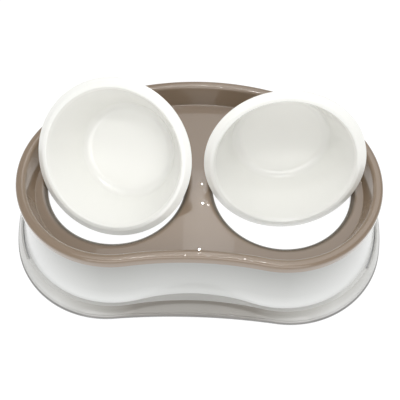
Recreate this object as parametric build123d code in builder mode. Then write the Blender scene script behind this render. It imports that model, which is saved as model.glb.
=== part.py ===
from build123d import *
from math import hypot
import os

os.makedirs("parts", exist_ok=True)

# Plan of the stand round its bowls, measured on the lower edge of its lip
bowl_rim_r = 79.6
hole_share = 0.8907
deck_w = 29.4
back_bulge = 22.0
waist_dip = 7.3
lobe_gap = 3.0
corner_share = 0.52
end_share = 0.38

# Heights of the stand
stand_h = 86.0
deck_drop = 24.0
step_z = 12.0
pad_lift = 1.5

# Deck moulding: turned-over lip, basin, holes and collars
lip_h = 10.0
lip_lean = 0.6
lip_wall = 1.8
rim_w = 9.0
rim_round = 3.6
basin_draft = 5.5
basin_round = 4.6
cove_round = 2.5
deck_t = 2.4
hole_out = 2.3
hole_back = 4.2
hole_round = 4.0
collar_h = 10.0
rib_t = 2.0
rib_h = 9.0
rib_len = 150.0
lip_round = 0.8

# Skirt moulding: neck, flared wall, step, foot and end slots
wall_t = 2.4
side_gap = 0.3
neck_h = 12.0
wall_flare = 9.2
wall_waist = 5.7
wall_square = 8.0
step_w = 3.2
step_waist = 1.9
step_square = 10.0
foot_flare = 21.7
foot_belly = 2.1
foot_square = 20.0
hollow_share = 0.36
slot_w = 4.0
slot_gap = 0.8
slot_back = 20.0
slot_half_angle = 28.0

# Snap barbs that hold the deck in the skirt
barb_w = 12.0
barb_h = 3.0
barb_tip = 1.0
barb_reach = 7.1
barb_drop = 1.6
barb_gap = 0.4
barb_angles = (-70.0, -15.0, 40.0)

# Rubber pads and their sockets
pad_r = 6.7
pad_bed = 2.0
socket_r = 9.0
socket_inset = 19.5
pad_angle = 45.0

# Bowls, measured from the lower edge of the turned-down rim
bowl_depth = 51.4
bowl_low_r = 48.5
bowl_top_h = 1.0
bowl_t = 2.2
crest_h = 4.7
crest_w = 3.6
brow_w = 5.8
throat_w = 2.1
rim_edge_h = 1.2
rim_t = 2.0
floor_round = 11.0
throat_round = 3.0
crest_round = 1.5
ring_inset = 10.0
ring_w = 2.5
ring_h = 1.5

# How the bowls stand in their holes: rim centre over the deck and behind the hole, as shares of the rim
left_rise_share = 0.402
left_back_share = 0.0817
left_shift_share = -0.0025
left_tilt = 46.3
left_turn = -14.3
right_rise_share = 0.4146
right_back_share = 0.0766
right_shift_share = -0.0075
right_tilt = 67.2
right_turn = 0.5

# Values that follow from those above
lobe_x = bowl_rim_r + lobe_gap
hole_x = lobe_x + hole_out
hole_r = bowl_rim_r * hole_share
lip_r = hole_r + deck_w
lip_back = lip_r + back_bulge
lip_waist = lip_r - waist_dip
lobe_y = (lip_r - lip_back) / 2
deck_z = stand_h - deck_drop
roof_z = stand_h - deck_t
lip_z = stand_h - lip_h
neck_z = roof_z - neck_h
hole_y = lobe_y + hole_back
neck_out = -lip_wall - lip_lean - side_gap
basin_top = -lip_lean - rim_w
basin_low = basin_top - basin_draft
barb_z = roof_z - barb_drop - barb_h
pad_h = pad_lift + pad_bed
crest_r = bowl_rim_r - brow_w - crest_w
bowl_top_r = crest_r - throat_w
ring_r = bowl_low_r - ring_inset
end_back_share = (corner_share**2 + 1 - (1 - end_share) ** 2) / (1 - end_share - corner_share) / 2
joint_share = corner_share + end_back_share


def flip(point):
    """The same plan point on the left side."""
    return (-point[0], point[1])


def layer(z, grow, waist=0, square=0):
    """Stand outline at height z, grown outward, its waist drawn in and its corners filled out by lengths."""
    corner = lip_r + grow - square
    back = lip_back + grow - square
    dip = lip_waist + grow - waist - square
    corner_x = lobe_x + square * corner_share
    back_r = (corner_x**2 + back**2 - corner**2) / (back - corner) / 2
    dip_r = (corner_x**2 + dip**2 - corner**2) / (corner - dip) / 2
    back_part = corner / (back_r - corner)
    dip_part = corner / (dip_r + corner)
    rear = (corner_x * (1 + back_part), square + (back_r - back) * back_part)
    front = (corner_x * (1 - dip_part), -square - (dip + dip_r) * dip_part)
    reach = corner / hypot(1, joint_share)
    rear_joint = (corner_x + reach * joint_share, square + reach)
    front_joint = (rear_joint[0], -rear_joint[1])
    end = (lobe_x + lip_r + grow - square * end_share, 0)
    rear_mid = corner_middle((corner_x, square), rear_joint, rear, corner)
    front_mid = corner_middle((corner_x, -square), front, front_joint, corner)
    with BuildSketch(Plane((0, lobe_y, z))) as outline:
        with BuildLine():
            ThreePointArc(front, front_mid, front_joint)
            ThreePointArc(front_joint, end, rear_joint)
            ThreePointArc(rear_joint, rear_mid, rear)
            ThreePointArc(rear, (0, back + square), flip(rear))
            ThreePointArc(flip(rear), flip(rear_mid), flip(rear_joint))
            ThreePointArc(flip(rear_joint), flip(end), flip(front_joint))
            ThreePointArc(flip(front_joint), flip(front_mid), flip(front))
            ThreePointArc(flip(front), (0, -dip - square), front)
        make_face()
    return outline.sketch.face()


def corner_middle(centre, start, stop, radius):
    """Middle of a corner's arc between two of its points."""
    across = start[0] + stop[0] - 2 * centre[0]
    along = start[1] + stop[1] - 2 * centre[1]
    share = radius / hypot(across, along)
    return (centre[0] + across * share, centre[1] + along * share)


def flared_shell(inset, mode):
    """Neck, wall and foot of the skirt as one solid, shrunk by the inset for its hollow."""
    neck = layer(neck_z, neck_out - inset)
    extrude(neck, amount=neck_h, mode=mode)
    wall_mid_z = (neck_z + step_z) / 2
    wall_mid = neck_out + (wall_flare - neck_out) * hollow_share
    wall_foot = layer(step_z, wall_flare - inset, wall_waist, wall_square)
    wall_middle = layer(wall_mid_z, wall_mid - inset, wall_waist * hollow_share, wall_square * hollow_share)
    loft([wall_foot, wall_middle, neck], mode=mode)
    foot_top_z = step_z - inset
    foot_top = wall_flare + step_w
    foot_mid = foot_top + (foot_flare - foot_top) * hollow_share
    foot_mid_square = step_square + (foot_square - step_square) * hollow_share
    foot_mid_z = (foot_top_z + pad_lift) / 2
    foot_layers = [
        layer(pad_lift, foot_flare - inset, -foot_belly, foot_square),
        layer(foot_mid_z, foot_mid - inset, (step_waist - foot_belly) / 2, foot_mid_square),
        layer(foot_top_z, foot_top - inset, step_waist, step_square),
    ]
    loft(foot_layers, mode=mode)
    if inset:
        extrude(wall_foot, amount=-inset, mode=mode)


def snap_spots(z):
    """Places on the lip's edge where a barb meets the skirt, local Y pointing outward."""
    spots = []
    for side in (-1, 1):
        for angle in barb_angles:
            heading = angle - 90 if side > 0 else 90 - angle
            spots.append(Pos(side * lobe_x, lobe_y, z) * Rot(0, 0, heading) * Pos(0, lip_r, 0))
    spots.append(Pos(0, lobe_y + lip_back, z))
    spots.append(Pos(0, lobe_y - lip_waist, z) * Rot(0, 0, 180))
    return spots


def pad_spots(z):
    """Centres of the four sockets, front and back of both lobes."""
    reach = lip_r + foot_flare - socket_inset
    spots = []
    for side in (-1, 1):
        for angle in (-pad_angle, pad_angle):
            heading = angle if side > 0 else 180 - angle
            spots.append(Pos(side * lobe_x, lobe_y, z) * Rot(0, 0, heading) * Pos(reach, 0, 0))
    return spots


def bowl(seat):
    """Thin round bowl with a turned-down rim and a foot ring, its axis along the seat's Z."""
    section = Plane(seat * Rot(90, 0, 0))
    slope = (bowl_top_r - bowl_low_r) / (bowl_depth + bowl_top_h)
    skin = bowl_t * hypot(1, slope)
    under_h = crest_h - rim_t
    base_h = bowl_depth + bowl_t
    throat = (bowl_top_r, bowl_top_h)
    crest = (crest_r, crest_h)
    brow = (crest_r + crest_w, crest_h)
    corner = (bowl_low_r, -bowl_depth)
    heel = (bowl_low_r + skin - bowl_t * slope, -base_h)
    with BuildSketch(section) as profile:
        with BuildLine():
            inside = Polyline((0, -bowl_depth), corner, throat, crest, brow, (bowl_rim_r, rim_edge_h))
            edge = Polyline(
                inside @ 1,
                (bowl_rim_r, 0),
                (bowl_rim_r - rim_t, 0),
                (crest_r + crest_w - rim_t / 2, under_h),
                (bowl_top_r + skin + (under_h - bowl_top_h) * slope, under_h),
                heel,
            )
            ring = Polyline(
                edge @ 1,
                (ring_r, -base_h),
                (ring_r, -base_h - ring_h),
                (ring_r - ring_w, -base_h - ring_h),
                (ring_r - ring_w, -base_h),
                (0, -base_h),
            )
            Line(ring @ 1, inside @ 0)
        make_face()
        soft_corners = (
            (corner, floor_round),
            (heel, floor_round + bowl_t),
            (throat, throat_round),
            (crest, crest_round),
            (brow, throat_round),
        )
        for spot, radius in soft_corners:
            fillet(profile.vertices().sort_by_distance(spot)[0], radius)
    revolve(profile.sketch, axis=Axis(section.origin, section.y_dir))


# Deck: lip turned over the skirt, sunk basin with two collared holes, a spine rib and snap barbs
with BuildPart() as deck:
    loft([layer(lip_z, 0), layer(stand_h, -lip_lean)])
    fillet(deck.edges().group_by(Axis.Z)[-1], rim_round)
    fillet(deck.edges().group_by(Axis.Z)[0], lip_round)
    loft([layer(lip_z, -lip_wall), layer(roof_z, -lip_wall - lip_lean)], mode=Mode.SUBTRACT)
    loft([layer(deck_z - deck_t, basin_low + deck_t), layer(roof_z, basin_top + deck_t)])
    loft([layer(deck_z, basin_low), layer(stand_h, basin_top)], mode=Mode.SUBTRACT)
    rim_top = deck.faces().sort_by(Axis.Z)[-1]
    fillet(rim_top.inner_wires()[0].edges(), basin_round)
    basin_floor = deck.faces().filter_by(Axis.Z).sort_by_distance((0, lobe_y, deck_z))[0]
    fillet(basin_floor.outer_wire().edges(), cove_round)
    with Locations((0, lobe_y, deck_z - deck_t)):
        Box(rib_t, rib_len, rib_h, align=(Align.CENTER, Align.CENTER, Align.MAX))
    with Locations((-hole_x, hole_y, deck_z), (hole_x, hole_y, deck_z)):
        Cylinder(hole_r + deck_t, collar_h, align=(Align.CENTER, Align.CENTER, Align.MAX))
        Cylinder(hole_r, collar_h, align=(Align.CENTER, Align.CENTER, Align.MAX), mode=Mode.SUBTRACT)
    hole_edges = deck.edges().filter_by(GeomType.CIRCLE).filter_by(
        lambda e: abs(e.radius - hole_r) < lip_round and abs(e.center().Z - deck_z) < lip_round
    )
    fillet(hole_edges, hole_round)
    with Locations(*[spot * Pos(0, basin_top, 0) for spot in snap_spots(barb_z)]):
        Wedge(
            barb_w, barb_reach, barb_h, 0, barb_h - barb_tip, barb_w, barb_h,
            align=(Align.CENTER, Align.MIN, Align.MIN),
        )
deck.part.label = "deck"
export_step(deck.part, "parts/deck.step")

# Skirt: flared wall with a step and foot, windows for the barbs, end slots and pad sockets
with BuildPart() as skirt:
    flared_shell(0, Mode.ADD)
    flared_shell(wall_t, Mode.SUBTRACT)
    with Locations(*pad_spots(pad_lift)):
        Cylinder(socket_r, step_z - wall_t / 2 - pad_lift, align=(Align.CENTER, Align.CENTER, Align.MIN))
        Cylinder(
            pad_r + side_gap, pad_bed, align=(Align.CENTER, Align.CENTER, Align.MIN), mode=Mode.SUBTRACT
        )
    with Locations(*[spot * Pos(0, neck_out, 0) for spot in snap_spots(barb_z - barb_gap)]):
        Box(
            barb_w + 2 * barb_gap, wall_t * 3, barb_h + 2 * barb_gap,
            align=(Align.CENTER, Align.CENTER, Align.MIN), mode=Mode.SUBTRACT,
        )
    for side in (-1, 1):
        with BuildSketch(Plane((side * (lobe_x - slot_back), lobe_y, step_z + side_gap))):
            wall_end = lip_r + wall_flare - wall_square * end_share
            middle = wall_end + slot_back + slot_gap + slot_w / 2
            first = -slot_half_angle if side > 0 else 180 - slot_half_angle
            SlotArc(CenterArc((0, 0), middle, first, 2 * slot_half_angle), slot_w)
        extrude(amount=-step_z / 2 - side_gap, mode=Mode.SUBTRACT)
skirt.part.label = "skirt"
export_step(skirt.part, "parts/skirt.step")

# Bowls, propped on their edges in the holes
left_lift = Pos(bowl_rim_r * left_shift_share, bowl_rim_r * left_back_share, bowl_rim_r * left_rise_share)
left_seat = Pos(-hole_x, hole_y, deck_z) * left_lift * Rot(0, 0, left_turn)
with BuildPart() as left_bowl:
    bowl(left_seat * Rot(left_tilt, 0, 0))
left_bowl.part.label = "left_bowl"
export_step(left_bowl.part, "parts/left_bowl.step")

right_lift = Pos(bowl_rim_r * right_shift_share, bowl_rim_r * right_back_share, bowl_rim_r * right_rise_share)
right_seat = Pos(hole_x, hole_y, deck_z) * right_lift * Rot(0, 0, right_turn)
with BuildPart() as right_bowl:
    bowl(right_seat * Rot(right_tilt, 0, 0))
right_bowl.part.label = "right_bowl"
export_step(right_bowl.part, "parts/right_bowl.step")

# Pads pressed into the sockets
pad_names = ("pad_front_left", "pad_back_left", "pad_front_right", "pad_back_right")
for pad_name, spot in zip(pad_names, pad_spots(0)):
    with BuildPart() as pad:
        with Locations(spot):
            Cylinder(pad_r, pad_h, align=(Align.CENTER, Align.CENTER, Align.MIN))
        fillet(pad.edges().group_by(Axis.Z)[0], side_gap * 2)
    pad.part.label = pad_name
    export_step(pad.part, f"parts/{pad_name}.step")
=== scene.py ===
import logging
import math
from abc import ABC, abstractmethod
from dataclasses import dataclass
from enum import Enum
from typing import NamedTuple

import bmesh
import bpy
import numpy as np
from mathutils import Matrix, Vector


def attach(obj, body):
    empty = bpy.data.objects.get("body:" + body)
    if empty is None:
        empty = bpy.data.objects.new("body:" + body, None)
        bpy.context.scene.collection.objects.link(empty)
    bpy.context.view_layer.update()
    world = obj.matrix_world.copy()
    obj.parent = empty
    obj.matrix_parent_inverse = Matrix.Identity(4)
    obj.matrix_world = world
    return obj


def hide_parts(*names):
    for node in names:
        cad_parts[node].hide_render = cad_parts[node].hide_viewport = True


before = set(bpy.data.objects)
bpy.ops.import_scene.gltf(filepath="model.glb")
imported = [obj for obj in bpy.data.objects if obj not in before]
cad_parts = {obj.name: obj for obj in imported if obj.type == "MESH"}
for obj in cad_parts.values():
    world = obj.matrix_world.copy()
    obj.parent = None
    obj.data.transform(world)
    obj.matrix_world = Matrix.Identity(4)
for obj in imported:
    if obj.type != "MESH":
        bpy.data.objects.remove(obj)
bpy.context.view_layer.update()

log = logging.getLogger("double_pet_bowl")
MM = 0.001
WELD = 1e-6
LEAST_R = 1e-7
Color = tuple[float, float, float, float]
Point = tuple[float, float, float]
Tree = bpy.types.NodeTree
Socket = bpy.types.NodeSocket


class Body(Enum):
    """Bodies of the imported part."""

    STAND = "stand"
    LEFT = "left_bowl"
    RIGHT = "right_bowl"


class Slot(Enum):
    """Finish slots of the new pieces."""

    DECK = "deck_plastic"
    SKIRT = "skirt_plastic"
    BOWL = "bowl_plastic"


# Shapes


class Surface(NamedTuple):
    """Points of a surface in metres, shape (n, 3), and its quads by point number, shape (m, 4)."""

    points: np.ndarray
    quads: np.ndarray

    @staticmethod
    def joined(*parts: "Surface") -> "Surface":
        """One surface made of several.

        Args:
            *parts: Surfaces to stack.

        Returns:
            The stacked surface, its quads renumbered.
        """
        starts = np.cumsum([0] + [len(part.points) for part in parts[:-1]])
        quads = [part.quads + start for part, start in zip(parts, starts)]
        return Surface(np.vstack([part.points for part in parts]), np.vstack(quads))

    def mirrored(self) -> "Surface":
        """The same surface on the other side of the middle plane x = 0, its faces turned to match."""
        return Surface(self.points * [-1.0, 1.0, 1.0], self.quads[:, ::-1])


def rounded_profile(corners: np.ndarray, radii: np.ndarray, steps: int) -> np.ndarray:
    """Polyline whose inner corners are arcs.

    At a corner with unit sides a and b and opening angle p, the arc's centre lies on a + b at
    r / sin(p / 2), and its points swing from one tangent point to the other through pi - p.

    Args:
        corners: Points of the polyline, shape (k, 2).
        radii: Radius at each point, shape (k,). Those of the two ends aren't used.
        steps: Points on each arc.

    Returns:
        Points of the rounded polyline, shape (m, 2).
    """
    middle, before, after = corners[1:-1], corners[:-2], corners[2:]
    a = before - middle
    b = after - middle
    a = a / np.linalg.norm(a, axis=1, keepdims=True)
    b = b / np.linalg.norm(b, axis=1, keepdims=True)
    opening = np.arccos(np.clip((a * b).sum(1), -1, 1))[:, None]
    radius = np.maximum(radii[1:-1], LEAST_R)[:, None]
    bisector = a + b
    bisector = bisector / np.linalg.norm(bisector, axis=1, keepdims=True)
    centre = middle + bisector * radius / np.sin(opening / 2)
    reach = radius / np.tan(opening / 2)
    start = middle + a * reach - centre
    end = middle + b * reach - centre
    swing = (math.pi - opening)[:, None, :]
    u = np.linspace(0, 1, steps)[None, :, None]
    arc = np.sin((1 - u) * swing) * start[:, None] + np.sin(u * swing) * end[:, None]
    points = (centre[:, None] + arc / np.sin(swing)).reshape(-1, 2)
    return np.vstack([corners[:1], points, corners[-1:]])


def grid_surface(points: np.ndarray, closed: bool) -> Surface:
    """Surface over a grid of points.

    Args:
        points: Grid of points, shape (rows, cols, 3).
        closed: Whether the last column joins the first.

    Returns:
        The surface, facing out when columns run anticlockwise and rows run up the outside.
    """
    rows, cols = points.shape[:2]
    last = cols if closed else cols - 1
    i, j = np.meshgrid(np.arange(rows - 1), np.arange(last), indexing="ij")
    k = (j + 1) % cols
    quads = np.stack([i * cols + j, i * cols + k, (i + 1) * cols + k, (i + 1) * cols + j], -1)
    return Surface(points.reshape(-1, 3), quads.reshape(-1, 4))


def lathe(profile: np.ndarray, segments: int) -> Surface:
    """Surface (r cos t, r sin t, h) of a profile (r, h) turned round Z.

    Args:
        profile: Radius and height along the profile, shape (k, 2).
        segments: Steps round the axis.

    Returns:
        The surface of revolution.
    """
    t = np.linspace(0, 2 * math.pi, segments, endpoint=False)
    r = profile[:, :1]
    height = np.repeat(profile[:, 1:], segments, 1)
    return grid_surface(np.stack([r * np.cos(t), r * np.sin(t), height], -1), True)


def mesh_object(name: str, surface: Surface, crease: float = 42.0) -> bpy.types.Object:
    """Welded, smooth-shaded mesh object at the origin.

    Args:
        name: Name of the object.
        surface: Its surface.
        crease: Angle in degrees over which an edge stays sharp.

    Returns:
        The new object, linked to the scene.
    """
    mesh = bpy.data.meshes.new(name)
    mesh.from_pydata(surface.points.tolist(), [], surface.quads.tolist())
    work = bmesh.new()
    work.from_mesh(mesh)
    bmesh.ops.remove_doubles(work, verts=work.verts, dist=WELD)
    bmesh.ops.dissolve_degenerate(work, edges=work.edges, dist=WELD)
    loose = [vert for vert in work.verts if not vert.link_faces]
    bmesh.ops.delete(work, geom=loose, context="VERTS")
    work.to_mesh(mesh)
    work.free()
    mesh.shade_smooth()
    mesh.set_sharp_from_angle(angle=math.radians(crease))
    made = bpy.data.objects.new(name, mesh)
    bpy.context.scene.collection.objects.link(made)
    return made


@dataclass(frozen=True)
class Tag:
    """Name of a piece, the body it rides on, its finish slot and the solids it stands for."""

    name: str
    body: Body
    slot: Slot
    solids: tuple[str, ...] = ()


class Piece(ABC):
    """A dressed piece, made from a formula."""

    @abstractmethod
    def surface(self) -> Surface:
        """Surface of the piece."""

    def thickness(self) -> float:
        """Thickness of the wall behind an open surface, zero for a closed one."""
        return 0.0

    def build(self, tag: Tag, finish: bpy.types.Material) -> bpy.types.Object:
        """Make the piece and hang it on its body.

        Args:
            tag: Name, body, slot and solids of the piece.
            finish: Its material.

        Returns:
            The piece's object.
        """
        piece = mesh_object(tag.name, self.surface())
        if self.thickness():
            wall = piece.modifiers.new("wall", "SOLIDIFY")
            wall.thickness = self.thickness()
            wall.offset = -1.0
        piece.data.materials.append(finish)
        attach(piece, tag.body.value)
        if tag.solids:
            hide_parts(*tag.solids)
        log.info("%s: %d faces on %s", tag.name, len(piece.data.polygons), tag.body.value)
        return piece


# Finishes


def linear(red: int, green: int, blue: int) -> Color:
    """Linear colour of an sRGB colour given in steps of 255."""
    c = np.array([red, green, blue]) / 255.0
    c = np.where(c <= 0.04045, c / 12.92, ((c + 0.055) / 1.055) ** 2.4)
    return (float(c[0]), float(c[1]), float(c[2]), 1.0)


class MouldedSkin:
    """Node group for the skin of a moulding: flow marks, fine peel and faint wiping scuffs."""

    NAME = "moulded_skin"
    COLORS = ("Base", "Flow")
    VALUES = ("Gloss", "Scuff", "Peel Scale", "Peel Depth")
    EVEN: Point = (1.0, 1.0, 1.0)
    FLOW_STRETCH: Point = (1.0, 1.0, 0.6)
    FLOW_SCALE = 9.0
    FLOW_DETAIL = 3.0
    WIPE_SCALE = 60.0
    WIPE_DETAIL = 5.0
    WIPE_POWER = 3.0
    PEEL_DETAIL = 2.0

    def __init__(self) -> None:
        """Build the group once."""
        self.tree = bpy.data.node_groups.new(self.NAME, "ShaderNodeTree")
        face = self.tree.interface
        for name in self.COLORS:
            face.new_socket(name, in_out="INPUT", socket_type="NodeSocketColor")
        for name in self.VALUES:
            face.new_socket(name, in_out="INPUT", socket_type="NodeSocketFloat")
        face.new_socket("Color", in_out="OUTPUT", socket_type="NodeSocketColor")
        face.new_socket("Roughness", in_out="OUTPUT", socket_type="NodeSocketFloat")
        face.new_socket("Normal", in_out="OUTPUT", socket_type="NodeSocketVector")
        self.coords = self.tree.nodes.new("ShaderNodeTexCoord")
        self.entry = self.tree.nodes.new("NodeGroupInput")
        self.leave = self.tree.nodes.new("NodeGroupOutput")
        self._flow_marks()
        self._scuffs()
        self._peel()

    def _noise(self, scale: float, detail: float, stretch: Point) -> bpy.types.Node:
        """Noise on stretched Object coordinates.

        Args:
            scale: Scale of the noise, per metre.
            detail: Octaves of the noise.
            stretch: Scale of the coordinates along X, Y and Z.

        Returns:
            The noise node.
        """
        place = self.tree.nodes.new("ShaderNodeMapping")
        place.inputs["Scale"].default_value = stretch
        self.tree.links.new(self.coords.outputs["Object"], place.inputs["Vector"])
        noise = self.tree.nodes.new("ShaderNodeTexNoise")
        noise.inputs["Scale"].default_value = scale
        noise.inputs["Detail"].default_value = detail
        self.tree.links.new(place.outputs["Vector"], noise.inputs["Vector"])
        return noise

    def _math(self, kind: str, first: Socket, second: Socket | float) -> Socket:
        """Math node on a socket and a socket or number.

        Args:
            kind: Operation of the node.
            first: Socket of the first value.
            second: Socket or number of the second.

        Returns:
            The node's output socket.
        """
        node = self.tree.nodes.new("ShaderNodeMath")
        node.operation = kind
        self.tree.links.new(first, node.inputs[0])
        if isinstance(second, float):
            node.inputs[1].default_value = second
        else:
            self.tree.links.new(second, node.inputs[1])
        return node.outputs[0]

    def _flow_marks(self) -> None:
        """Blend two close tints in wide soft clouds, as resin cools."""
        flow = self._noise(self.FLOW_SCALE, self.FLOW_DETAIL, self.FLOW_STRETCH)
        blend = self.tree.nodes.new("ShaderNodeMix")
        blend.data_type = "RGBA"
        self.tree.links.new(flow.outputs["Fac"], blend.inputs["Factor"])
        self.tree.links.new(self.entry.outputs["Base"], blend.inputs["A"])
        self.tree.links.new(self.entry.outputs["Flow"], blend.inputs["B"])
        self.tree.links.new(blend.outputs["Result"], self.leave.inputs["Color"])

    def _scuffs(self) -> None:
        """Add faint wiping marks to the roughness."""
        wipe = self._noise(self.WIPE_SCALE, self.WIPE_DETAIL, self.EVEN)
        strong = self._math("POWER", wipe.outputs["Fac"], self.WIPE_POWER)
        scuff = self._math("MULTIPLY", strong, self.entry.outputs["Scuff"])
        rough = self._math("ADD", scuff, self.entry.outputs["Gloss"])
        self.tree.links.new(rough, self.leave.inputs["Roughness"])

    def _peel(self) -> None:
        """Fine unevenness of the moulded skin as a bump."""
        peel = self._noise(1.0, self.PEEL_DETAIL, self.EVEN)
        self.tree.links.new(self.entry.outputs["Peel Scale"], peel.inputs["Scale"])
        bump = self.tree.nodes.new("ShaderNodeBump")
        bump.inputs["Distance"].default_value = 1.0
        height = self._math("MULTIPLY", peel.outputs["Fac"], self.entry.outputs["Peel Depth"])
        self.tree.links.new(height, bump.inputs["Height"])
        self.tree.links.new(bump.outputs["Normal"], self.leave.inputs["Normal"])


class PaintedShadeBand(NamedTuple):
    """Tint of a moulding at a height over the floor, in metres; the tints carry painted shade."""

    height: float
    tint: Color


@dataclass(frozen=True, kw_only=True)
class Finish(ABC):
    """Look of one moulded material."""

    name: str
    gloss: float
    scuff: float
    peel_scale: float
    peel_depth: float
    coat: float
    coat_roughness: float

    @abstractmethod
    def tint(self, tree: Tree, group: bpy.types.Node) -> None:
        """Give the skin its two close tints.

        Args:
            tree: Node tree of the material.
            group: Node of the skin's group in that tree.
        """

    def material(self, skin: MouldedSkin) -> bpy.types.Material:
        """Material with the moulded skin on a Principled shader.

        Args:
            skin: The shared node group.

        Returns:
            The new material.
        """
        made = bpy.data.materials.new(self.name)
        made.use_nodes = True
        tree = made.node_tree
        shader = tree.nodes["Principled BSDF"]
        group = tree.nodes.new("ShaderNodeGroup")
        group.node_tree = skin.tree
        group.inputs["Gloss"].default_value = self.gloss
        group.inputs["Scuff"].default_value = self.scuff
        group.inputs["Peel Scale"].default_value = self.peel_scale
        group.inputs["Peel Depth"].default_value = self.peel_depth
        self.tint(tree, group)
        tree.links.new(group.outputs["Color"], shader.inputs["Base Color"])
        tree.links.new(group.outputs["Roughness"], shader.inputs["Roughness"])
        tree.links.new(group.outputs["Normal"], shader.inputs["Normal"])
        shader.inputs["Coat Weight"].default_value = self.coat
        shader.inputs["Coat Roughness"].default_value = self.coat_roughness
        return made


@dataclass(frozen=True, kw_only=True)
class EvenFinish(Finish):
    """Finish in one tint, with a close second tint for its flow marks."""

    base: Color
    flow: Color

    def tint(self, tree: Tree, group: bpy.types.Node) -> None:
        """Set both tints on the skin.

        Args:
            tree: Node tree of the material, which gets no more nodes.
            group: Node of the skin's group.
        """
        group.inputs["Base"].default_value = self.base
        group.inputs["Flow"].default_value = self.flow


@dataclass(frozen=True, kw_only=True)
class PaintedShadeFinish(Finish):
    """Finish with painted shade: its tint changes with height, darker where less light falls, and,
    where it has end bands, lighter towards both ends.

    Flow marks are the tint times the flow shade. Below the foot's top the change towards the ends
    runs ahead by the foot's lead.
    """

    flow_shade: Color
    painted_shade_bands: tuple[PaintedShadeBand, ...]
    end_painted_shade_bands: tuple[PaintedShadeBand, ...] = ()
    end_near: float = 90.0 * MM
    end_far: float = 170.0 * MM
    foot_lead: float = 30.0 * MM
    foot_low: float = 11.8 * MM
    foot_high: float = 12.3 * MM

    @staticmethod
    def _share(tree: Tree, value: Socket, low: float, high: float) -> bpy.types.Node:
        """Share of the way from a low to a high value.

        Args:
            tree: Node tree that gets the node.
            value: Socket of the value.
            low: Value that gives 0.
            high: Value that gives 1.

        Returns:
            The node, its ends still 0 and 1.
        """
        share = tree.nodes.new("ShaderNodeMapRange")
        share.inputs["From Min"].default_value = low
        share.inputs["From Max"].default_value = high
        tree.links.new(value, share.inputs["Value"])
        return share

    def _ramp(self, tree: Tree, height: Socket, painted_shade_bands: tuple[PaintedShadeBand, ...]) -> Socket:
        """Painted shade that runs through its bands from the lowest to the highest.

        Args:
            tree: Node tree that gets the nodes.
            height: Socket of the height.
            painted_shade_bands: The bands of painted shade.

        Returns:
            The tint's socket.
        """
        low, high = painted_shade_bands[0].height, painted_shade_bands[-1].height
        ramp = tree.nodes.new("ShaderNodeValToRGB")
        steps = ramp.color_ramp.elements
        for band in painted_shade_bands[1:-1]:
            steps.new((band.height - low) / (high - low))
        for step, band in zip(steps, painted_shade_bands):
            step.color = band.tint
        share = self._share(tree, height, low, high)
        tree.links.new(share.outputs["Result"], ramp.inputs["Fac"])
        return ramp.outputs["Color"]

    def _end_share(self, tree: Tree, side: Socket, height: Socket) -> Socket:
        """Share of the ends' lighter painted shade: how far |x|, plus the foot's lead below its top, is
        from near to far.

        Args:
            tree: Node tree that gets the nodes.
            side: Socket of x.
            height: Socket of the height.

        Returns:
            The share's socket.
        """
        away = tree.nodes.new("ShaderNodeMath")
        away.operation = "ABSOLUTE"
        tree.links.new(side, away.inputs[0])
        lead = self._share(tree, height, self.foot_low, self.foot_high)
        lead.inputs["To Min"].default_value = self.foot_lead
        lead.inputs["To Max"].default_value = 0.0
        reach = tree.nodes.new("ShaderNodeMath")
        reach.operation = "ADD"
        tree.links.new(away.outputs[0], reach.inputs[0])
        tree.links.new(lead.outputs["Result"], reach.inputs[1])
        return self._share(tree, reach.outputs[0], self.end_near, self.end_far).outputs["Result"]

    def painted_shade_tint(self, tree: Tree) -> Socket:
        """Painted shade by height, blended from the middle's darker bands to the ends' lighter ones.

        Args:
            tree: Node tree that gets the nodes.

        Returns:
            The tint's socket.
        """
        coords = tree.nodes.new("ShaderNodeTexCoord")
        split = tree.nodes.new("ShaderNodeSeparateXYZ")
        tree.links.new(coords.outputs["Object"], split.inputs[0])
        middle = self._ramp(tree, split.outputs["Z"], self.painted_shade_bands)
        if not self.end_painted_shade_bands:
            return middle
        ends = self._ramp(tree, split.outputs["Z"], self.end_painted_shade_bands)
        blend = tree.nodes.new("ShaderNodeMix")
        blend.data_type = "RGBA"
        share = self._end_share(tree, split.outputs["X"], split.outputs["Z"])
        tree.links.new(share, blend.inputs["Factor"])
        tree.links.new(middle, blend.inputs["A"])
        tree.links.new(ends, blend.inputs["B"])
        return blend.outputs["Result"]

    def tint(self, tree: Tree, group: bpy.types.Node) -> None:
        """Feed the skin with the painted shade by height and its flow shade.

        Args:
            tree: Node tree of the material.
            group: Node of the skin's group in that tree.
        """
        # Painted shade by height becomes the base colour itself.
        base = self.painted_shade_tint(tree)
        flow = tree.nodes.new("ShaderNodeMix")
        flow.data_type = "RGBA"
        flow.blend_type = "MULTIPLY"
        flow.inputs["Factor"].default_value = 1.0
        flow.inputs["B"].default_value = self.flow_shade
        tree.links.new(base, flow.inputs["A"])
        tree.links.new(base, group.inputs["Base"])
        tree.links.new(flow.outputs["Result"], group.inputs["Flow"])


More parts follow.
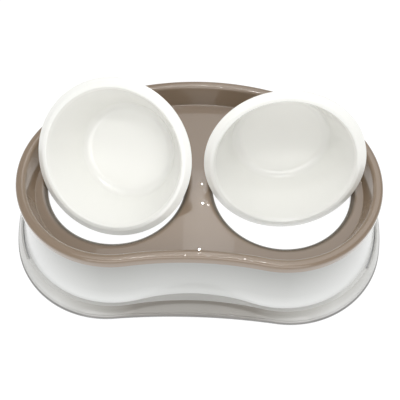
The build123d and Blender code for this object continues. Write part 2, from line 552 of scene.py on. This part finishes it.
TAUPE = PaintedShadeFinish(
    name="taupe_gloss",
    gloss=0.2,
    scuff=0.1,
    peel_scale=500.0,
    peel_depth=1e-6,
    coat=1.0,
    coat_roughness=0.01,
    flow_shade=linear(247, 245, 243),
    # Painted shade: below deck level the taupe is painted darker, round the holes' edges, down the
    # collars and under the deck.
    painted_shade_bands=(
        PaintedShadeBand(50.0 * MM, linear(84, 73, 61)),
        PaintedShadeBand(61.3 * MM, linear(84, 73, 61)),
        PaintedShadeBand(61.97 * MM, linear(136, 118, 99)),
        PaintedShadeBand(86.0 * MM, linear(136, 118, 99)),
    ),
)
WHITE = PaintedShadeFinish(
    name="white_gloss",
    gloss=0.2,
    scuff=0.1,
    peel_scale=500.0,
    peel_depth=2e-6,
    coat=0.5,
    coat_roughness=0.05,
    flow_shade=linear(250, 250, 249),
    # Painted shade: a dark painted contact shadow along the foot's lower edge, the foot painted darker,
    # and the wall painted darker up towards the lip that overhangs it.
    painted_shade_bands=(
        PaintedShadeBand(0.0 * MM, linear(120, 117, 112)),
        PaintedShadeBand(2.1 * MM, linear(120, 117, 112)),
        PaintedShadeBand(2.8 * MM, linear(147, 143, 136)),
        PaintedShadeBand(11.8 * MM, linear(121, 116, 108)),
        PaintedShadeBand(12.3 * MM, linear(232, 233, 232)),
        PaintedShadeBand(30.0 * MM, linear(201, 202, 200)),
        PaintedShadeBand(76.0 * MM, linear(154, 154, 151)),
    ),
    # Painted light: the same bands painted lighter towards both ends, where more light reaches.
    end_painted_shade_bands=(
        PaintedShadeBand(0.0 * MM, linear(140, 139, 137)),
        PaintedShadeBand(2.1 * MM, linear(140, 139, 137)),
        PaintedShadeBand(2.8 * MM, linear(228, 228, 226)),
        PaintedShadeBand(11.8 * MM, linear(190, 189, 184)),
        PaintedShadeBand(12.3 * MM, linear(238, 239, 238)),
        PaintedShadeBand(30.0 * MM, linear(230, 231, 230)),
        PaintedShadeBand(76.0 * MM, linear(184, 184, 181)),
    ),
)
IVORY = EvenFinish(
    name="ivory_gloss",
    gloss=0.2,
    scuff=0.1,
    peel_scale=500.0,
    peel_depth=2e-6,
    coat=0.4,
    coat_roughness=0.05,
    base=linear(246, 246, 242),
    flow=linear(244, 244, 239),
)
RUBBER = EvenFinish(
    name="pad_rubber",
    gloss=0.7,
    scuff=0.2,
    peel_scale=2400.0,
    peel_depth=4e-5,
    coat=0.0,
    coat_roughness=0.3,
    base=linear(58, 56, 54),
    flow=linear(46, 45, 44),
)


# Stand


@dataclass(frozen=True)
class StandOutline:
    """Closed outline of two end lobes, a bowed back and a hollow waist, seen from above.

    A level of the stand is its grow outside the lip's edge, its height, the pinch of its waist and
    the square of its corners, all lengths.
    """

    lobe_x: float = 82.6 * MM
    lobe_y: float = -11.0 * MM
    lip_r: float = 100.3 * MM
    back: float = 122.3 * MM
    waist: float = 93.0 * MM
    corner_share: float = 0.52
    end_share: float = 0.38
    waist_steps: int = 24
    corner_steps: int = 64
    end_steps: int = 24
    back_steps: int = 36

    def half_count(self) -> int:
        """Points on the right half, both ends included."""
        return self.waist_steps + 2 * self.corner_steps + self.end_steps + self.back_steps - 4

    def half(self, levels: np.ndarray) -> np.ndarray:
        """Right half of the outline from the middle of the waist to the middle of the back.

        Five arcs touch one another: waist, front corner, end, rear corner and back. A corner of
        radius R centred at (x, s) touches a back of reach b with radius (x^2 + b^2 - R^2) / 2(b - R),
        and the waist's is the same with R - b below the line. The end arc's centre lies q s behind
        the lobe's. Each arc is sampled evenly in angle.

        Args:
            levels: Grow, height, pinch and square of each level, shape (n, 4).

        Returns:
            Points, shape (n, m, 2).
        """
        grow, pinch, square = (levels[:, k, None] for k in (0, 2, 3))
        near = 1 - self.end_share
        q = (self.corner_share**2 + 1 - near**2) / (near - self.corner_share) / 2
        x = self.lobe_x + square * self.corner_share
        corner = self.lip_r + grow - square
        back = self.back + grow - square
        dip = self.waist + grow - pinch - square
        back_r = (x**2 + back**2 - corner**2) / (2 * (back - corner))
        dip_r = (x**2 + dip**2 - corner**2) / (2 * (corner - dip))
        to_waist = np.arctan2(dip + dip_r, x)
        to_back = np.arctan2(back_r - back, x)
        joint = math.atan2(1, self.corner_share + q)
        end_r = self.lip_r + grow + (q - self.end_share) * square
        arcs = (
            (0.0, -dip - square - dip_r, dip_r, math.pi / 2, to_waist, self.waist_steps),
            (x, -square, corner, to_waist - math.pi, -joint, self.corner_steps),
            (self.lobe_x - q * square, 0.0, end_r, -joint, joint, self.end_steps),
            (x, square, corner, joint, to_back, self.corner_steps),
            (0.0, back + square - back_r, back_r, to_back, math.pi / 2, self.back_steps),
        )
        runs = []
        for centre_x, centre_y, radius, first, last, steps in arcs:
            angle = first + (last - first) * np.linspace(0, 1, steps)[None]
            run = np.stack([centre_x + radius * np.cos(angle), centre_y + radius * np.sin(angle)], -1)
            runs.append(run[:, 1:] if runs else run)
        points = np.concatenate(runs, 1)
        points[:, [0, -1], 0] = 0.0
        return points + [0.0, self.lobe_y]

    def sweep(self, levels: np.ndarray) -> np.ndarray:
        """Profile carried round the outline.

        Args:
            levels: Grow, height, pinch and square along the profile, shape (n, 4).

        Returns:
            Points of the surface, shape (n, m, 3), anticlockwise from the middle of the waist.
        """
        right = self.half(levels)
        left = right[:, -2:0:-1] * [-1.0, 1.0]
        ring = np.concatenate([right, left], 1)
        height = np.broadcast_to(levels[:, None, 1:2], (*ring.shape[:2], 1))
        return np.concatenate([ring, height], 2)


@dataclass(frozen=True)
class Deck(Piece):
    """Taupe deck: rounded lip, sunken basin and two collared holes."""

    outline: StandOutline
    top: float = 86.0 * MM
    drop: float = 24.0 * MM
    lip_h: float = 10.0 * MM
    lip_lean: float = 0.6 * MM
    lip_round: float = 0.6 * MM
    rim_w: float = 9.0 * MM
    rim_round: float = 3.6 * MM
    draft: float = 5.5 * MM
    basin_round: float = 4.6 * MM
    cove_round: float = 1.2 * MM
    hole_x: float = 84.9 * MM
    hole_y: float = -6.8 * MM
    hole_r: float = 70.9 * MM
    hole_round: float = 7.0 * MM
    hole_drop: float = 4.0 * MM
    collar_h: float = 10.0 * MM
    wall: float = 1.8 * MM
    seam_steps: int = 56
    plate_steps: int = 12
    bend_steps: int = 12
    arc_steps: int = 10

    def thickness(self) -> float:
        """Thickness of the deck's wall."""
        return self.wall

    def rim_levels(self) -> np.ndarray:
        """Profile of the rim from the lip's lower edge over the top and down to the deck.

        Returns:
            Grow, height, pinch and square along the profile, shape (n, 4).
        """
        floor = self.top - self.drop
        inner = -self.lip_lean - self.rim_w
        low = inner - self.draft
        corners = np.array([
            (-2 * self.lip_round, self.top - self.lip_h),
            (0.0, self.top - self.lip_h),
            (-self.lip_lean, self.top),
            (inner, self.top),
            (low, floor),
            (low - 2 * self.cove_round, floor),
        ])
        radii = np.array([0, self.lip_round, self.rim_round, self.basin_round, self.cove_round, 0])
        path = rounded_profile(corners, radii, self.arc_steps)
        return np.column_stack([path, np.zeros((len(path), 2))])

    def plate(self, edge: np.ndarray) -> Surface:
        """Right half of the flat deck, its hole's rounded edge and the collar.

        Rays run from the hole's centre to the half deck's edge, which is the basin's outline closed
        by a seam along the middle. Along each ray the points go evenly from that edge to the
        rounded edge's start, then round a quarter of an ellipse and down the collar.

        Args:
            edge: Right half of the basin's outline at deck level, shape (m, 3).

        Returns:
            The half deck's surface.
        """
        level = edge[0, 2]
        y = np.linspace(edge[-1, 1], edge[0, 1], self.seam_steps)[1:-1]
        seam = np.column_stack([np.zeros_like(y), y, np.full_like(y, level)])
        loop = np.vstack([edge, seam])
        centre = np.array([self.hole_x, self.hole_y])
        ray = loop[:, :2] - centre
        reach = np.linalg.norm(ray, axis=1)
        ray = ray / reach[:, None]
        mouth = self.hole_r + self.hole_round
        u = np.linspace(0, 1, self.plate_steps)[:, None]
        turn = np.linspace(0, math.pi / 2, self.bend_steps + 1)[1:, None]
        every = np.ones((1, len(loop)))
        radius = np.vstack([
            reach[None] + (mouth - reach[None]) * u,
            (mouth - self.hole_round * np.sin(turn)) * every,
            self.hole_r * every,
        ])
        height = np.vstack([
            np.full_like(u, level) * every,
            (level - self.hole_drop * (1 - np.cos(turn))) * every,
            (level - self.collar_h) * every,
        ])
        flat = centre + radius[..., None] * ray[None]
        return grid_surface(np.concatenate([flat, height[..., None]], 2), True)

    def surface(self) -> Surface:
        """Rim and both halves of the deck as one open shell."""
        rim = self.outline.sweep(self.rim_levels())
        right = self.plate(rim[-1, : self.outline.half_count()])
        return Surface.joined(grid_surface(rim, True), right, right.mirrored())


@dataclass(frozen=True)
class Skirt(Piece):
    """White skirt: flared foot, step with end slots, hollow flared wall and neck."""

    outline: StandOutline
    neck_top: float = 83.4 * MM
    neck_z: float = 71.6 * MM
    neck_out: float = -2.7 * MM
    step_z: float = 12.0 * MM
    wall_flare: float = 9.2 * MM
    wall_waist: float = 5.7 * MM
    wall_square: float = 8.0 * MM
    step_w: float = 3.2 * MM
    step_waist: float = 1.9 * MM
    step_square: float = 10.0 * MM
    foot_flare: float = 21.7 * MM
    foot_belly: float = 2.1 * MM
    foot_square: float = 20.0 * MM
    foot_z: float = 1.5 * MM
    hollow: float = 0.36
    slot_back: float = 20.0 * MM
    slot_r: float = 129.26 * MM
    slot_w: float = 4.0 * MM
    slot_half_angle: float = 28.0
    wall: float = 2.2 * MM
    foot_steps: int = 16
    wall_steps: int = 26
    slot_steps: int = 801
    row_bias: float = 1.4

    def thickness(self) -> float:
        """Thickness of the skirt's wall."""
        return self.wall

    def flare(self, low: np.ndarray, high: np.ndarray, steps: int) -> np.ndarray:
        """Hollow flare between two levels: the parabola in height through a point half way up.

        Args:
            low: Grow, height, pinch and square at the bottom, shape (4,).
            high: The same at the top.
            steps: Levels along the curve.

        Returns:
            Levels along the curve, shape (steps, 4).
        """
        u = np.linspace(0, 1, steps)[:, None]
        middle = high + (low - high) * self.hollow
        levels = low * (1 - u) * (1 - 2 * u) + middle * 4 * u * (1 - u) + high * u * (2 * u - 1)
        levels[:, 1:2] = low[1] + (high[1] - low[1]) * u
        return levels

    def slot_distance(self, points: np.ndarray) -> np.ndarray:
        """Distance outside the end slots, which are arcs of a circle with half-round ends.

        Args:
            points: Points of the stand, shape (..., 3).

        Returns:
            Distance from a slot's edge, negative inside, shape (...).
        """
        x = np.abs(points[..., 0]) - self.outline.lobe_x + self.slot_back
        y = points[..., 1] - self.outline.lobe_y
        limit = math.radians(self.slot_half_angle)
        angle = np.clip(np.arctan2(y, x), -limit, limit)
        off_x = x - self.slot_r * np.cos(angle)
        off_y = y - self.slot_r * np.sin(angle)
        return np.hypot(off_x, off_y) - self.slot_w / 2

    def across(
        self, wall: np.ndarray, edge: np.ndarray, foot: np.ndarray, way: np.ndarray
    ) -> np.ndarray:
        """Points over the ledge and down the foot.

        Args:
            wall: Ring at the wall's foot, shape (m, 3).
            edge: Ring at the ledge's edge, shape (m, 3).
            foot: Rings of the foot from the bottom up, shape (n, m, 3).
            way: Way from the wall, 0, over the edge, 1, to the bottom, 2, shape (k, m).

        Returns:
            Points, shape (k, m, 3), the foot's height following its flare.
        """
        ledge = np.clip(way, 0, 1)[..., None]
        slope = np.clip(way - 1, 0, 1)[..., None]
        points = wall + (edge - wall) * ledge + (foot[0] - edge) * slope
        # One line down the front corner gives the height along every line
        line = foot[:, foot.shape[1] // 8]
        reach = np.linalg.norm(line[:, :2] - line[-1, :2], axis=1)
        points[..., 2] = np.interp(slope[..., 0], reach[::-1] / reach[0], line[::-1, 2])
        return points

    def surface(self) -> Surface:
        """Foot and wall as two sheets that part at the end slots and meet elsewhere.

        On each line from the wall to the foot's bottom, the part inside a slot is left out, and the
        foot's rows are spread evenly over what is left of the slope.
        """
        bottom = np.array([self.foot_flare, self.foot_z, -self.foot_belly, self.foot_square])
        edge = np.array([self.wall_flare + self.step_w, self.step_z, self.step_waist, self.step_square])
        low = np.array([self.wall_flare, self.step_z, self.wall_waist, self.wall_square])
        high = np.array([self.neck_out, self.neck_z, 0.0, 0.0])
        top = np.array([[self.neck_out, self.neck_top, 0.0, 0.0]])
        foot = self.outline.sweep(self.flare(bottom, edge, self.foot_steps))
        wall = self.outline.sweep(np.vstack([self.flare(low, high, self.wall_steps), top]))
        rim = self.outline.sweep(bottom[None] - [[self.wall, 0.0, 0.0, 0.0]])
        way = np.linspace(0, 2, self.slot_steps)[:, None] * np.ones((1, foot.shape[1]))
        gap = self.slot_distance(self.across(wall[0], foot[-1], foot, way))
        parted = (gap < 0).any(0)
        nearest = np.minimum(np.take_along_axis(way, gap.argmin(0)[None], 0)[0], 1.0)
        inner = np.where(parted, np.where(gap < 0, way, 2.0).min(0), nearest)
        outer = np.where(parted, np.where(gap < 0, way, 0.0).max(0), nearest)
        stop = np.maximum(outer, 1.0)
        rows = stop + (2.0 - stop) * np.linspace(1, 0, self.foot_steps)[:, None] ** self.row_bias
        lower = self.across(wall[0], foot[-1], foot, np.vstack([rows, outer[None]]))
        upper = self.across(wall[0], foot[-1], foot, inner[None])
        return Surface.joined(
            grid_surface(np.concatenate([rim, lower]), True),
            grid_surface(np.concatenate([upper, wall]), True),
        )


@dataclass(frozen=True)
class PadSockets(Piece):
    """Four bosses under the skirt that hold the rubber pads."""

    outline: StandOutline
    reach: float = 102.5 * MM
    angle: float = 45.0
    boss_r: float = 9.0 * MM
    bed_r: float = 7.0 * MM
    low_z: float = 1.5 * MM
    bed_z: float = 3.5 * MM
    top_z: float = 10.8 * MM
    edge_round: float = 0.3 * MM
    arc_steps: int = 5
    segments: int = 48

    def surface(self) -> Surface:
        """Four turned bosses, each with a bed for its pad."""
        corners = np.array([
            (0.0, self.bed_z),
            (self.bed_r, self.bed_z),
            (self.bed_r, self.low_z),
            (self.boss_r, self.low_z),
            (self.boss_r, self.top_z),
            (0.0, self.top_z),
        ])
        radii = np.full(len(corners), self.edge_round)
        boss = lathe(rounded_profile(corners, radii, self.arc_steps), self.segments)
        turn = math.radians(self.angle)
        x = self.outline.lobe_x + self.reach * math.cos(turn)
        y = self.reach * math.sin(turn)
        front = Surface(boss.points + [x, self.outline.lobe_y - y, 0.0], boss.quads)
        back = Surface(boss.points + [x, self.outline.lobe_y + y, 0.0], boss.quads)
        return Surface.joined(front, back, front.mirrored(), back.mirrored())


@dataclass(frozen=True)
class SpineRib(Piece):
    """Stiffening rib under the middle of the deck."""

    centre_y: float = -11.0 * MM
    top_z: float = 60.4 * MM
    length: float = 150.0 * MM
    height: float = 9.8 * MM
    width: float = 2.0 * MM

    def surface(self) -> Surface:
        """Closed bar: a rectangle carried from end to end, its end faces drawn to their middles."""
        x = np.array([-1, 1, 1, -1]) * self.width / 2
        z = np.array([-1, -1, 1, 1]) * self.height / 2
        y = np.array([1, 1, -1, -1]) * self.length / 2 + self.centre_y
        full = np.array([0.0, 1.0, 1.0, 0.0])[:, None]
        ring_y = np.repeat(y[:, None], 4, 1)
        ring_z = self.top_z - self.height / 2 + z[None] * full
        return grid_surface(np.stack([x[None] * full, ring_y, ring_z], -1), True)


# Bowls


@dataclass(frozen=True)
class Bowl(Piece):
    """Ivory bowl with a turned-down rim and a foot ring, propped in its hole."""

    centre: Point
    tilt: float
    turn: float
    rim_r: float = 79.6 * MM
    depth: float = 51.4 * MM
    low_r: float = 48.5 * MM
    top_r: float = 68.1 * MM
    top_h: float = 1.0 * MM
    skin: float = 2.2 * MM
    crest_h: float = 4.7 * MM
    crest_r: float = 70.2 * MM
    crest_w: float = 3.6 * MM
    edge_h: float = 1.2 * MM
    rim_t: float = 2.0 * MM
    floor_round: float = 11.0 * MM
    ring_r: float = 38.5 * MM
    ring_w: float = 2.5 * MM
    ring_h: float = 1.5 * MM
    root_round: float = 0.4 * MM
    ring_round: float = 0.5 * MM
    neck_round: float = 0.8 * MM
    under_round: float = 1.2 * MM
    edge_round: float = 0.55 * MM
    brow_round: float = 3.0 * MM
    crest_round: float = 1.5 * MM
    throat_round: float = 3.0 * MM
    arc_steps: int = 12
    segments: int = 224

    def profile(self) -> np.ndarray:
        """Section from the middle of the underside, round the rim, to the middle of the floor.

        Returns:
            Radius and height along the section, shape (n, 2).
        """
        slope = (self.top_r - self.low_r) / (self.depth + self.top_h)
        skin = self.skin * math.hypot(1, slope)
        under = self.crest_h - self.rim_t
        base = -self.depth - self.skin
        brow = self.crest_r + self.crest_w
        stations = np.array([
            (0.0, base, 0.0),
            (self.ring_r - self.ring_w, base, self.root_round),
            (self.ring_r - self.ring_w, base - self.ring_h, self.ring_round),
            (self.ring_r, base - self.ring_h, self.ring_round),
            (self.ring_r, base, self.root_round),
            (self.low_r + skin - self.skin * slope, base, self.floor_round + self.skin),
            (self.top_r + skin + (under - self.top_h) * slope, under, self.neck_round),
            (brow - self.rim_t / 2, under, self.under_round),
            (self.rim_r - self.rim_t, 0.0, self.ring_round),
            (self.rim_r, 0.0, self.edge_round),
            (self.rim_r, self.edge_h, self.edge_round),
            (brow, self.crest_h, self.brow_round),
            (self.crest_r, self.crest_h, self.crest_round),
            (self.top_r, self.top_h, self.throat_round),
            (self.low_r, -self.depth, self.floor_round),
            (0.0, -self.depth, 0.0),
        ])
        return rounded_profile(stations[:, :2], stations[:, 2], self.arc_steps)

    def surface(self) -> Surface:
        """Turned bowl, tipped forward, turned and set at its place."""
        upright = lathe(self.profile(), self.segments)
        tip = Matrix.Rotation(math.radians(self.tilt), 3, "X")
        spin = Matrix.Rotation(math.radians(self.turn), 3, "Z")
        return Surface(upright.points @ np.array(spin @ tip).T + self.centre, upright.quads)


# Studio


class Lamp(ABC):
    """A lamp, or a group of lamps that share one light."""

    @staticmethod
    def hang(name: str, light: bpy.types.Light, spot: Point, target: Point | None) -> None:
        """Hang a lamp.

        Args:
            name: Name of the lamp.
            light: Its light.
            spot: Its place.
            target: Point that it is aimed at, or None where it faces straight down.
        """
        made = bpy.data.objects.new(name, light)
        made.location = spot
        if target is not None:
            made.rotation_mode = "QUATERNION"
            made.rotation_quaternion = (Vector(target) - Vector(spot)).to_track_quat("-Z", "Y")
        bpy.context.scene.collection.objects.link(made)

    @abstractmethod
    def build(self, target: Point) -> None:
        """Hang the lamp or lamps.

        Args:
            target: Point that aimed lamps look at.
        """


@dataclass(frozen=True)
class Softbox(Lamp):
    """Rectangular soft lamp aimed at the object."""

    name: str
    spot: Point
    width: float
    height: float
    power: float

    def build(self, target: Point) -> None:
        """Hang the lamp.

        Args:
            target: Point that it is aimed at.
        """
        light = bpy.data.lights.new(self.name, "AREA")
        light.shape = "RECTANGLE"
        light.size = self.width
        light.size_y = self.height
        light.energy = self.power
        self.hang(self.name, light, self.spot, target)


@dataclass(frozen=True)
class LedStrip(Lamp):
    """Row of slim lamps along X that face down, seen as dots in the glossy rims."""

    name: str
    middle: Point
    spacing: float
    count: int
    width: float
    length: float
    power: float

    def build(self, target: Point) -> None:
        """Hang the row.

        Args:
            target: Point that other lamps are aimed at. This row hangs level.
        """
        light = bpy.data.lights.new(self.name, "AREA")
        light.shape = "RECTANGLE"
        light.size = self.width
        light.size_y = self.length
        light.energy = self.power
        x, y, z = self.middle
        for k, step in enumerate(np.arange(self.count) - (self.count - 1) / 2):
            self.hang(f"{self.name}_{k}", light, (x + step * self.spacing, y, z), None)


@dataclass(frozen=True)
class Sparkles(Lamp):
    """Tiny round lamps, seen as single sparks in the level deck."""

    name: str
    spots: tuple[Point, ...]
    radius: float
    power: float

    def build(self, target: Point) -> None:
        """Hang the lamps.

        Args:
            target: Point that they are aimed at.
        """
        light = bpy.data.lights.new(self.name, "AREA")
        light.shape = "DISK"
        light.size = 2 * self.radius
        light.energy = self.power
        for k, spot in enumerate(self.spots):
            self.hang(f"{self.name}_{k}", light, spot, target)


LAMPS: tuple[Lamp, ...] = (
    Softbox("top_light", (0.15, 0.3, 1.35), width=1.1, height=1.6, power=5.6),
    Softbox("front_light", (0.0, -1.15, 0.85), width=1.4, height=0.8, power=6.8),
    Softbox("deck_glow", (0.01, 0.41, 0.85), width=0.12, height=0.2, power=0.065),
    LedStrip(
        "fine_row", (0.0, -0.1, 0.85), spacing=0.0137, count=23, width=0.0024, length=0.03, power=0.035
    ),
    LedStrip(
        "wide_row", (0.0, 0.1, 0.85), spacing=0.035, count=11, width=0.003, length=0.03, power=0.04
    ),
    Sparkles(
        "sparkle",
        (
            (-0.01, 0.46, 0.8),
            (0.002, 0.427, 0.8),
            (-0.006, 0.408, 0.8),
            (0.008, 0.403, 0.8),
            (-0.01, 0.289, 0.8),
            (0.018, 0.283, 0.8),
        ),
        radius=0.002,
        power=0.012,
    ),
)


@dataclass(frozen=True)
class Studio:
    """Camera, white floor and soft light."""

    target: Point = (1.141 * MM, -13.373 * MM, 40.0 * MM)
    elevation: float = 59.04
    heading: float = 1.94
    distance: float = 0.7
    focal_px: float = 665.78
    image_px: float = 400.0
    sensor: float = 36.0
    clip_start: float = 0.01
    floor_half: float = 3.0
    floor_grey: float = 0.12
    floor_glow: float = 0.96
    # Painted contact shadow: ambient occlusion dims the floor's glow near the object.
    painted_shadow_reach: float = 14.0 * MM
    painted_shadow_dark: float = 0.35
    painted_shadow_clear: float = 0.7
    fill: float = 0.5
    backdrop: float = 1.0

    def camera(self) -> None:
        """Aim the camera as the photograph was taken."""
        e = math.radians(self.elevation)
        a = math.radians(self.heading)
        away = Vector((-math.sin(a) * math.cos(e), math.cos(a) * math.cos(e), -math.sin(e)))
        data = bpy.data.cameras.new("camera")
        data.sensor_width = self.sensor
        data.lens = self.sensor * self.focal_px / self.image_px
        data.clip_start = self.clip_start
        made = bpy.data.objects.new("camera", data)
        made.location = Vector(self.target) - away * self.distance
        made.rotation_mode = "QUATERNION"
        made.rotation_quaternion = away.to_track_quat("-Z", "Y")
        bpy.context.scene.collection.objects.link(made)
        bpy.context.scene.camera = made

    def floor_paint(self) -> bpy.types.Material:
        """White paint that glows in the open, with a painted shadow: ambient occlusion dims the glow
        where the object stands close over it.
        """
        paint = bpy.data.materials.new("floor_white")
        paint.use_nodes = True
        tree = paint.node_tree
        tree.nodes.clear()
        out = tree.nodes.new("ShaderNodeOutputMaterial")
        shade = tree.nodes.new("ShaderNodeBsdfDiffuse")
        shade.inputs["Color"].default_value = (self.floor_grey, self.floor_grey, self.floor_grey, 1.0)
        white = tree.nodes.new("ShaderNodeEmission")
        # Painted shadow: ambient occlusion turns the glow down close under the object.
        painted_shadow_ao = tree.nodes.new("ShaderNodeAmbientOcclusion")
        painted_shadow_ao.inputs["Distance"].default_value = self.painted_shadow_reach
        unshadowed_glow = tree.nodes.new("ShaderNodeMapRange")
        unshadowed_glow.inputs["From Min"].default_value = self.painted_shadow_dark
        unshadowed_glow.inputs["From Max"].default_value = self.painted_shadow_clear
        unshadowed_glow.inputs["To Max"].default_value = self.floor_glow
        tree.links.new(painted_shadow_ao.outputs["AO"], unshadowed_glow.inputs["Value"])
        tree.links.new(unshadowed_glow.outputs["Result"], white.inputs["Strength"])
        both = tree.nodes.new("ShaderNodeAddShader")
        tree.links.new(shade.outputs[0], both.inputs[0])
        tree.links.new(white.outputs[0], both.inputs[1])
        tree.links.new(both.outputs[0], out.inputs["Surface"])
        return paint

    def floor(self) -> None:
        """Level white floor, a square at height 0."""
        half = self.floor_half
        corners = np.array([[(-half, -half, 0), (half, -half, 0)], [(-half, half, 0), (half, half, 0)]])
        floor = mesh_object("floor", grid_surface(corners, False))
        floor.data.materials.append(self.floor_paint())

    def world(self) -> None:
        """White surroundings: soft fill light, plain white where the camera looks at them."""
        world = bpy.data.worlds.new("studio")
        world.use_nodes = True
        tree = world.node_tree
        tree.nodes.clear()
        out = tree.nodes.new("ShaderNodeOutputWorld")
        mix = tree.nodes.new("ShaderNodeMixShader")
        path = tree.nodes.new("ShaderNodeLightPath")
        tree.links.new(path.outputs["Is Camera Ray"], mix.inputs["Fac"])
        for socket, strength in zip(mix.inputs[1:], (self.fill, self.backdrop)):
            light = tree.nodes.new("ShaderNodeBackground")
            light.inputs["Color"].default_value = (1.0, 1.0, 1.0, 1.0)
            light.inputs["Strength"].default_value = strength
            tree.links.new(light.outputs[0], socket)
        tree.links.new(mix.outputs[0], out.inputs["Surface"])
        bpy.context.scene.world = world

    def build(self) -> None:
        """Set up the whole studio."""
        bpy.context.scene.view_settings.view_transform = "Standard"
        self.camera()
        self.floor()
        self.world()
        for lamp in LAMPS:
            lamp.build(self.target)


def dress_pads(finish: bpy.types.Material) -> None:
    """Give the pads' own solids their rubber finish.

    Args:
        finish: The rubber material.
    """
    for name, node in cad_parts.items():
        if name.startswith("pad_"):
            node.data.materials.clear()
            node.data.materials.append(finish)
            log.info("%s: solid kept, rubber finish", name)


def main() -> None:
    """Build the dressed part and its studio."""
    logging.basicConfig(level=logging.INFO)
    skin = MouldedSkin()
    taupe, white, ivory, rubber = (look.material(skin) for look in (TAUPE, WHITE, IVORY, RUBBER))
    outline = StandOutline()
    fine_outline = StandOutline(corner_steps=90, end_steps=48)
    left = Bowl((-85.1 * MM, -0.3 * MM, 94.0 * MM), tilt=46.3, turn=-14.3)
    right = Bowl((84.3 * MM, -0.7 * MM, 95.0 * MM), tilt=67.2, turn=0.5)
    Deck(outline).build(Tag("deck_shell", Body.STAND, Slot.DECK, ("deck",)), taupe)
    SpineRib().build(Tag("deck_rib", Body.STAND, Slot.DECK), taupe)
    Skirt(fine_outline).build(Tag("skirt_shell", Body.STAND, Slot.SKIRT, ("skirt",)), white)
    PadSockets(outline).build(Tag("skirt_sockets", Body.STAND, Slot.SKIRT), white)
    left.build(Tag("left_bowl_shell", Body.LEFT, Slot.BOWL, ("left_bowl",)), ivory)
    right.build(Tag("right_bowl_shell", Body.RIGHT, Slot.BOWL, ("right_bowl",)), ivory)
    dress_pads(rubber)
    Studio().build()


if __name__ == "__main__":
    main()
